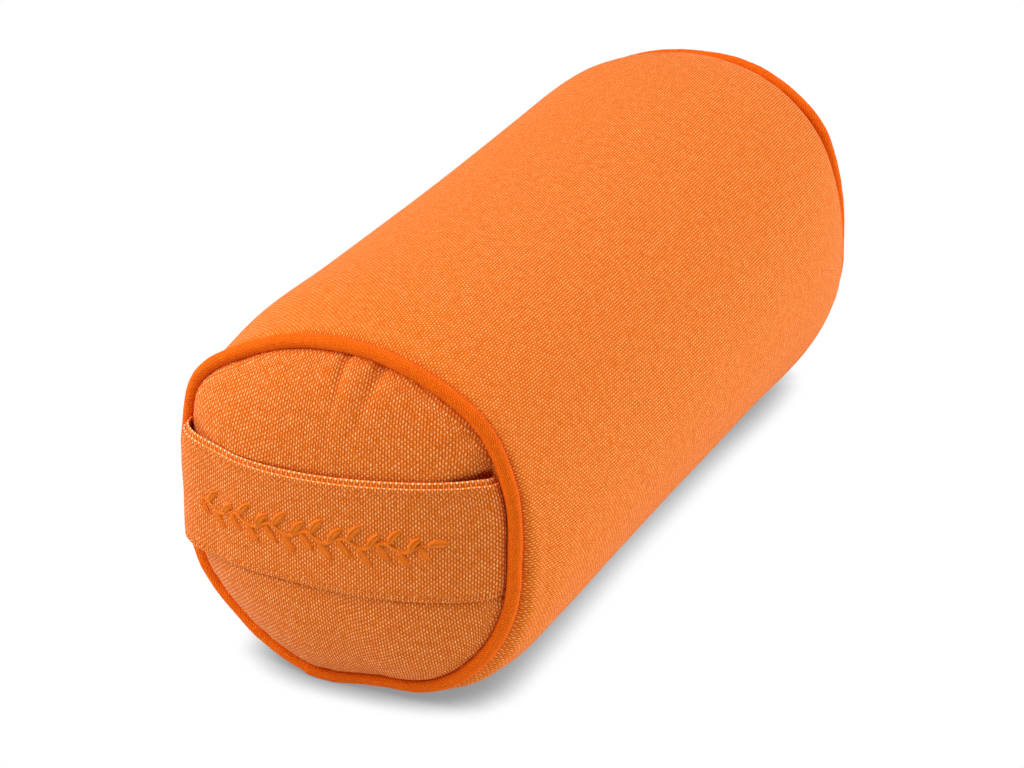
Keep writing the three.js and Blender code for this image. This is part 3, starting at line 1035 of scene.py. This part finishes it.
def canvas(name, colours, pitches, turn=0.0, folds=(), stray=2.0, relief=0.7, slubs=SLUBS_ALONG):
    """Plain-weave canvas. Its pale yarns run along the flat cloth's second direction."""
    pale, orange, gap_shade_colour = colours
    material, tree, shader = new_material(name)
    flat = node(tree, "ShaderNodeUVMap", uv_map="cloth")
    scale = (math.pi / pitches[0], math.pi / pitches[1], 1)
    yarns = node(tree, "ShaderNodeMapping", {"Vector": flat, "Rotation": (0, 0, turn), "Scale": scale})
    wander = node(tree, "ShaderNodeTexNoise", {"Vector": yarns, "Scale": 0.18, "Detail": 2.0})
    shift = node(tree, "ShaderNodeMath", {0: wander, 1: stray, 2: -stray / 2}, operation="MULTIPLY_ADD")
    uneven = node(tree, "ShaderNodeVectorMath", {0: yarns, 1: shift}, operation="ADD")
    waves = node(tree, "ShaderNodeVectorMath", {0: uneven}, operation="SINE")
    ridges = node(tree, "ShaderNodeVectorMath", {0: waves}, operation="ABSOLUTE")
    wave = node(tree, "ShaderNodeSeparateXYZ", {0: waves}).node.outputs
    ridge = node(tree, "ShaderNodeSeparateXYZ", {0: ridges}).node.outputs
    crossing = node(tree, "ShaderNodeMath", {0: wave[0], 1: wave[1]}, operation="MULTIPLY")
    full_ridge = node(tree, "ShaderNodeMath", {0: ridge[0], 1: 0.05}, operation="MAXIMUM")
    over = node(tree, "ShaderNodeMath", {0: crossing, 1: full_ridge}, operation="DIVIDE")
    column = node(tree, "ShaderNodeMapRange", {0: ridge[0], 1: 0.5, 2: 0.88}, **SMOOTH)
    pale_float = node(tree, "ShaderNodeMapRange", {0: over, 1: -0.45, 2: 0.2}, **SMOOTH)
    pale_on_top = node(tree, "ShaderNodeMath", {0: column, 1: pale_float}, operation="MULTIPLY")
    neps = node(tree, "ShaderNodeTexNoise", {"Vector": yarns, "Scale": 0.16, "Detail": 1.0})
    no_nep = node(tree, "ShaderNodeMapRange", {0: neps, 1: 0.3, 2: 0.42, 3: 0.25, 4: 1.0})
    pale_shown = node(tree, "ShaderNodeMath", {0: pale_on_top, 1: no_nep}, operation="MULTIPLY")
    arched = node(tree, "ShaderNodeMath", {0: over, 1: 0.4, 2: 0.6}, operation="MULTIPLY_ADD")
    pale_height = node(tree, "ShaderNodeMath", {0: column, 1: arched}, operation="MULTIPLY")
    orange_height = node(tree, "ShaderNodeMath", {0: ridge[1], 1: 0.6}, operation="MULTIPLY")
    height = node(tree, "ShaderNodeMath", {0: pale_height, 1: orange_height}, operation="MAXIMUM")
    stretched = node(tree, "ShaderNodeMapping", {"Vector": yarns, "Scale": slubs})
    streaks = node(tree, "ShaderNodeTexNoise", {"Vector": stretched, "Scale": 1.0, **STREAK_DETAIL})
    mottle = node(tree, "ShaderNodeTexNoise", {"Vector": yarns, "Scale": 0.09, **MOTTLE_DETAIL})
    flecks = node(tree, "ShaderNodeTexNoise", {"Vector": yarns, "Scale": 0.42, "Detail": 1.0})
    streaky = node(tree, "ShaderNodeMath", {0: streaks, 1: mottle}, operation="ADD")
    uneven_dye = node(tree, "ShaderNodeMath", {0: flecks, 1: 1.8, 2: streaky}, operation="MULTIPLY_ADD")
    paleness = node(tree, "ShaderNodeMapRange", {0: uneven_dye, 1: 1.58, 2: 2.22})
    pale_colours = {0: paleness, 6: from_hex(pale[0]), 7: from_hex(pale[1])}
    plain_yarn = node(tree, "ShaderNodeMix", pale_colours, data_type="RGBA")
    # painted highlight: both yarns are made lighter on the crests of the strap's folds
    fold_highlight = fold_highlight_mask(tree, flat, folds)
    pale_highlight = {0: fold_highlight, 6: plain_yarn, 7: from_hex(FOLD_HIGHLIGHT_PALE)}
    pale_yarn = node(tree, "ShaderNodeMix", pale_highlight, data_type="RGBA")
    dye = node(tree, "ShaderNodeMapRange", {0: mottle, 1: 0.2, 2: 0.8})
    orange_colours = {0: dye, 6: from_hex(orange[0]), 7: from_hex(orange[1])}
    dyed_yarn = node(tree, "ShaderNodeMix", orange_colours, data_type="RGBA")
    orange_highlight = {0: fold_highlight, 6: dyed_yarn, 7: from_hex(FOLD_HIGHLIGHT_ORANGE)}
    orange_yarn = node(tree, "ShaderNodeMix", orange_highlight, data_type="RGBA")
    # painted shade: the orange yarn is coloured dark where the weave leaves a gap, as the shade in it
    open_share = node(tree, "ShaderNodeMath", {0: ridge[1], 1: -0.85, 2: 1.0}, operation="MULTIPLY_ADD")
    between = node(tree, "ShaderNodeMapRange", {0: ridge[0], 1: 0.75, 2: 0.0})
    gap = node(tree, "ShaderNodeMath", {0: between, 1: open_share}, operation="MULTIPLY")
    depths = {0: gap, 6: orange_yarn, 7: from_hex(gap_shade_colour)}
    below = node(tree, "ShaderNodeMix", depths, data_type="RGBA")
    weave = node(tree, "ShaderNodeMix", {0: pale_shown, 6: below, 7: pale_yarn}, data_type="RGBA")
    tree.links.new(weave, shader.inputs["Base Color"])
    bump = node(tree, "ShaderNodeBump", {"Height": height, "Strength": relief, "Distance": 0.22 * MM})
    tree.links.new(bump, shader.inputs["Normal"])
    shader.inputs["Roughness"].default_value = 0.9
    shader.inputs["Specular IOR Level"].default_value = 0.12
    shader.inputs["Sheen Weight"].default_value = 0.06
    shader.inputs["Sheen Roughness"].default_value = 0.4
    return material


# the pale yarns, each from darkest to lightest, the orange ones, and the painted shade in the gaps between
# them
SIDE_COLOURS = (("#ec7c1c", "#f9ac68"), ("#dc5e06", "#f0740e"), "#682c02")
END_COLOURS = (("#ee7c1c", "#ffba7e"), ("#d85804", "#ee6e0a"), "#562200")
FOLD_HIGHLIGHT_PALE = "#ffdcb8"  # painted highlight: pale yarns on the crest of a fold, where the light from above falls
# painted highlight: orange yarns on the crest of a fold
FOLD_HIGHLIGHT_ORANGE = "#ff8420"
SIDE_PITCHES = (0.98 * MM, YARN_ALONG)  # from yarn to yarn, across the pale ones and along them
END_PITCHES = (1.01 * MM, YARN_ALONG)
SIDE_RELIEF = 0.32  # the side cloth is pulled taut, so its yarns stand out less
PANEL_TURN = math.radians(-1)
crests = (strap_rows[FRONT_CREST], strap_rows[BACK_CREST])
side_canvas = canvas(
    "plain_weave_cotton_canvas_side", SIDE_COLOURS, SIDE_PITCHES, relief=SIDE_RELIEF, slubs=SLUBS_ROUND
)
panel_canvas = canvas("plain_weave_cotton_canvas_panel", END_COLOURS, END_PITCHES, PANEL_TURN)
strap_canvas = canvas("plain_weave_cotton_canvas_strap", END_COLOURS, END_PITCHES, folds=crests)
side_cloth.data.materials.append(side_canvas)
for panel in panels.values():
    panel.data.materials.append(panel_canvas)
strap.data.materials.append(strap_canvas)

# %% [markdown]
# ## Piping cotton
# The strip round the cord is a cotton in one strong orange, cut on the slant so that it bends round the
# seam without creasing. Its weave therefore runs slantwise and shows as a fine diagonal grain.

# %% Piping cotton
PIPING_COLOURS = (("#f46400", "#ff800c"), ("#ea5800", "#f66400"), "#7c2a00")
PIPING_PITCHES = (0.74 * MM, 0.74 * MM)
SLANT = math.radians(50)
PIPING_STRAY = 5.0  # bending round the cord makes the yarns stray more
piping_cotton = canvas("slant_cut_cotton_piping", PIPING_COLOURS, PIPING_PITCHES, SLANT, stray=PIPING_STRAY)
piping_cotton.node_tree.nodes["Principled BSDF"].inputs["Sheen Weight"].default_value = 0.0
for cord in cords.values():
    cord.data.materials.append(piping_cotton)

# %% [markdown]
# ## Threads
# The sewing thread and the embroidery are mercerised cotton in nearly the colour of the cloth. The
# embroidery's threads lie side by side, 0.4 mm thick, and catch the light as fine lines. They are
# drawn 0.55 mm apart, because finer ones don't show. Their colour is painted darker between the
# strands and lighter on them, as shade and highlight.

# %% Threads
THREAD_PITCH = 0.55 * MM


def thread(name, colour, strength):
    """Thread with its single strands as fine ridges of a strength, painted in a darker shade between the
    strands and a lighter one on them.
    """
    material, tree, shader = new_material(name)
    flat = node(tree, "ShaderNodeUVMap", uv_map="cloth")
    scale = math.pi / 10 / THREAD_PITCH
    pattern = {"Vector": flat, "Scale": scale, "Distortion": 0.6, "Detail": 1.0}
    lines = node(tree, "ShaderNodeTexWave", pattern)
    bump = node(tree, "ShaderNodeBump", {"Height": lines, "Strength": strength, "Distance": 0.2 * MM})
    # painted shade and highlight: the darker colour lies between the strands, the lighter one on them
    shades = {0: lines, 6: from_hex(colour[0]), 7: from_hex(colour[1])}
    shade = node(tree, "ShaderNodeMix", shades, data_type="RGBA")
    tree.links.new(shade, shader.inputs["Base Color"])
    tree.links.new(bump, shader.inputs["Normal"])
    shader.inputs["Roughness"].default_value = 0.5
    shader.inputs["Specular IOR Level"].default_value = 0.12
    return material


stitches.data.materials.append(thread("mercerised_cotton_sewing_thread", ("#e07420", "#f08c3c"), 0.2))
sprig.data.materials.append(thread("mercerised_cotton_satin_stitch", ("#fa6800", "#ff8e22"), 1.0))

# %% [markdown]
# ## Table top
# In the photo the table is burnt out to plain white, and only a small grey shadow is left where the
# bolster's front end touches it. So the table shines white into the camera, with a painted shadow: its
# shine is made weaker where the bolster hangs close above it. For the light that it throws back on the
# bolster it is a pale matte board.

# %% Table top
# the table's painted shadow: how far it reaches and how deep it is
SHADOW_REACH = 18 * MM
SHADOW_SHARES = (0.15, 0.75)  # of open sky: full shadow and none
SHADOW_DEEPEST = 0.3  # of the table's white
table_top, tree, shader = new_material("white_light_table_painted_shadow")
shader.inputs["Base Color"].default_value = (0.62, 0.80, 0.84, 1.0)
shader.inputs["Roughness"].default_value = 0.8
shader.inputs["Emission Color"].default_value = (1.0, 1.0, 1.0, 1.0)
shader.inputs["Emission Strength"].default_value = TABLE_GLOW
near = node(tree, "ShaderNodeAmbientOcclusion", {"Distance": SHADOW_REACH}, samples=16)
open_share = near.node.outputs["AO"]
shares = {0: open_share, 1: SHADOW_SHARES[0], 2: SHADOW_SHARES[1], 3: SHADOW_DEEPEST, 4: 1.0}
open_sky = node(tree, "ShaderNodeMapRange", shares, **SMOOTH)
# painted shadow: the white that the camera sees is dimmed where the bolster hangs close above
glow_with_painted_shadow = node(tree, "ShaderNodeEmission", {"Strength": open_sky})
seen = node(tree, "ShaderNodeLightPath")
either = node(tree, "ShaderNodeMixShader", {0: seen, 1: shader.outputs[0], 2: glow_with_painted_shadow})
tree.links.new(either, tree.nodes["Material Output"].inputs["Surface"])
floor.data.materials.append(table_top)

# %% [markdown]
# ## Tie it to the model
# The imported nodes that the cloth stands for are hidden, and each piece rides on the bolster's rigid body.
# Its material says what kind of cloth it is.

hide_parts("bolster_body")
for end, panel in panels.items():
    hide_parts(f"end_panel_{end}")
for end, cord in cords.items():
    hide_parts(f"piping_{end}")
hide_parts("handle_strap")
for piece in [side_cloth, strap, stitches, sprig, *panels.values(), *cords.values()]:
    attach(piece, "root")
